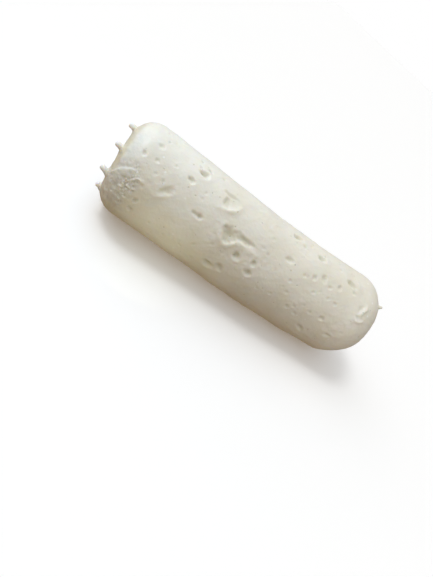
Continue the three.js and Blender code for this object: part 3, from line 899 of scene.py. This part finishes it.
curd_tree.links.new(grain_bump.outputs["Normal"], shader.inputs["Normal"])
fused.materials.clear()
fused.materials.append(curd)
fused.polygons.foreach_set("material_index", np.zeros(len(fused.polygons), dtype=np.int32))
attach(loaf, "root")
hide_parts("loaf")


# The studio's floor: a pale painted board that runs out of sight on all sides.
# It glows faintly, and throws no light back on to the loaf.
FLOOR_HALF_WIDTH = 6.0
FLOOR_COLOUR = (0.94, 0.95, 0.97, 1)
floor_form = bmesh.new()
bmesh.ops.create_grid(floor_form, x_segments=1, y_segments=1, size=FLOOR_HALF_WIDTH)
floor_mesh = bpy.data.meshes.new("pale_floor")
floor_form.to_mesh(floor_mesh)
floor_form.free()
floor = bpy.data.objects.new("pale_floor", floor_mesh)
bpy.context.scene.collection.objects.link(floor)
floor_paint = bpy.data.materials.new("pale_floor_paint")
floor_paint.use_nodes = True
paint_shader = floor_paint.node_tree.nodes["Principled BSDF"]
paint_shader.inputs["Base Color"].default_value = FLOOR_COLOUR
paint_shader.inputs["Roughness"].default_value = 0.9
paint_shader.inputs["Emission Color"].default_value = (1, 1, 1, 1)
paint_shader.inputs["Emission Strength"].default_value = 0.08
floor_mesh.materials.append(floor_paint)
floor.visible_diffuse = False
floor.visible_glossy = False


# The studio's air: a soft sky over a warm, dim ground, and darker beyond the plain end.
# A broad window lies above and behind, on the drain end's side. The camera sees a white backdrop.
SKY_LIGHT = (0.68, 0.672, 0.65, 1)
GROUND_LIGHT = (0.27, 0.185, 0.095, 1)
HORIZON = (-0.15, 0.15)
SHADED_LIGHT = (0.3, 0.25, 0.22, 1)
SHADED_TOWARDS_PLAIN_END = (0.45, 1.0)
SHADED_SHARE = 0.9
WINDOW_LIGHT = (1.75, 1.78, 1.8, 1)
WINDOW_TOWARDS = Vector((-0.55, 0.4, 0.73)).normalized()
WINDOW_EDGE = (0.82, 0.97)
BACKDROP = (1.0, 1.0, 1.0, 1)
world = bpy.data.worlds.new("studio_air")
bpy.context.scene.world = world
world.use_nodes = True
air = world.node_tree
towards = air.nodes.new("ShaderNodeTexCoord").outputs["Generated"]
direction = air.nodes.new("ShaderNodeSeparateXYZ")
air.links.new(towards, direction.inputs["Vector"])
facing_window = air.nodes.new("ShaderNodeVectorMath")
facing_window.operation = "DOT_PRODUCT"
facing_window.inputs[1].default_value = WINDOW_TOWARDS
air.links.new(towards, facing_window.inputs[0])
seen_by_camera = air.nodes.new("ShaderNodeLightPath").outputs["Is Camera Ray"]
above_horizon = ranged(air, direction.outputs["Z"], *HORIZON)
shaded = ranged(air, direction.outputs["X"], *SHADED_TOWARDS_PLAIN_END, to_high=SHADED_SHARE)
in_window = ranged(air, facing_window.outputs["Value"], *WINDOW_EDGE)
light = mixed(air, GROUND_LIGHT, SKY_LIGHT, above_horizon)
light = mixed(air, light, SHADED_LIGHT, shaded)
light = mixed(air, light, WINDOW_LIGHT, in_window)
light = mixed(air, light, BACKDROP, seen_by_camera)
air.links.new(light, air.nodes["Background"].inputs["Color"])


# The studio's lamps: a soft overhead light, a bluish disk over the drain end, and weak fill lamps.
# The fill lamps are small, stand close to the loaf, and stand for light that is thrown back on to it.
OVERHEAD_DIRECTION = Vector((0.5, -0.05, -1.0))
OVERHEAD_COLOUR = (1.0, 0.985, 0.95)
SIDE_LAMP_PLACE = (-0.13, 0.005, 0.16)
SIDE_LAMP_AIM = (-0.1, 0.0, 0.07)
SIDE_LAMP_COLOUR = (0.42, 0.68, 1.0)
# Each fill lamp: its name, place, aim, length, power and colour.
FILL_LAMPS = (
    ("low_left_lamp", (-0.064, -0.085, 0.012), (-0.064, -0.036, 0.028), 0.07, 0.0027, (0.95, 0.98, 0.66)),
    ("end_lamp", (-0.172, -0.035, 0.06), (-0.122, -0.005, 0.065), 0.04, 0.0011, (0.88, 0.95, 1.0)),
    ("low_right_lamp", (0.098, -0.11, 0.045), (0.094, -0.035, 0.04), 0.024, 0.0016, (1.0, 0.88, 0.8)),
    ("right_lamp", (0.085, -0.12, 0.13), (0.075, -0.03, 0.06), 0.06, 0.0022, (0.7, 0.87, 1.0)),
)
FILL_LAMP_BREADTH = 0.024
FILL_LAMP_SPREAD = math.radians(120)


def hang_lamp(lamp, lamp_place, lamp_direction):
    """Hangs a lamp at a place, turned along a direction and out of the camera's sight."""
    lamp_object = bpy.data.objects.new(lamp.name, lamp)
    lamp_object.location = lamp_place
    lamp_object.rotation_euler = lamp_direction.to_track_quat("-Z", "Y").to_euler()
    lamp_object.visible_camera = False
    bpy.context.scene.collection.objects.link(lamp_object)


overhead = bpy.data.lights.new("overhead_light", "SUN")
overhead.energy = 0.62
overhead.color = OVERHEAD_COLOUR
overhead.angle = math.radians(16)
hang_lamp(overhead, (0.0, 0.0, 0.0), OVERHEAD_DIRECTION)

side_lamp = bpy.data.lights.new("side_lamp", "AREA")
side_lamp.shape = "DISK"
side_lamp.size = 0.14
side_lamp.energy = 0.033
side_lamp.color = SIDE_LAMP_COLOUR
hang_lamp(side_lamp, SIDE_LAMP_PLACE, Vector(SIDE_LAMP_AIM) - Vector(SIDE_LAMP_PLACE))

for name, lamp_place, aim, length, power, colour in FILL_LAMPS:
    fill_lamp = bpy.data.lights.new(name, "AREA")
    fill_lamp.shape = "ELLIPSE"
    fill_lamp.size = length
    fill_lamp.size_y = FILL_LAMP_BREADTH
    fill_lamp.spread = FILL_LAMP_SPREAD
    fill_lamp.energy = power
    fill_lamp.color = colour
    hang_lamp(fill_lamp, lamp_place, Vector(aim) - Vector(lamp_place))


# The camera: a phone's wide lens, held close above the front of the loaf.
# It is rolled, so that the loaf slants across the upright picture.
CAMERA_PLACE = Vector((-0.0888, -0.2921, 0.2082))
CAMERA_AIM = Vector((-0.0031, -0.0242, 0.0061))
CAMERA_ROLL = math.radians(43.85)
PHOTO_FOCAL_PIXELS = 433
PHOTO_LONG_SIDE_PIXELS = 577
SENSOR_WIDTH = 36.0
camera = bpy.data.cameras.new("camera")
camera.sensor_width = SENSOR_WIDTH
camera.lens = SENSOR_WIDTH * PHOTO_FOCAL_PIXELS / PHOTO_LONG_SIDE_PIXELS
camera_object = bpy.data.objects.new("camera", camera)
level_view = (CAMERA_AIM - CAMERA_PLACE).to_track_quat("-Z", "Y")
camera_object.rotation_mode = "QUATERNION"
camera_object.rotation_quaternion = level_view @ Quaternion((0, 0, 1), CAMERA_ROLL)
camera_object.location = CAMERA_PLACE
bpy.context.scene.collection.objects.link(camera_object)
bpy.context.scene.camera = camera_object
bpy.context.scene.view_settings.view_transform = "Standard"
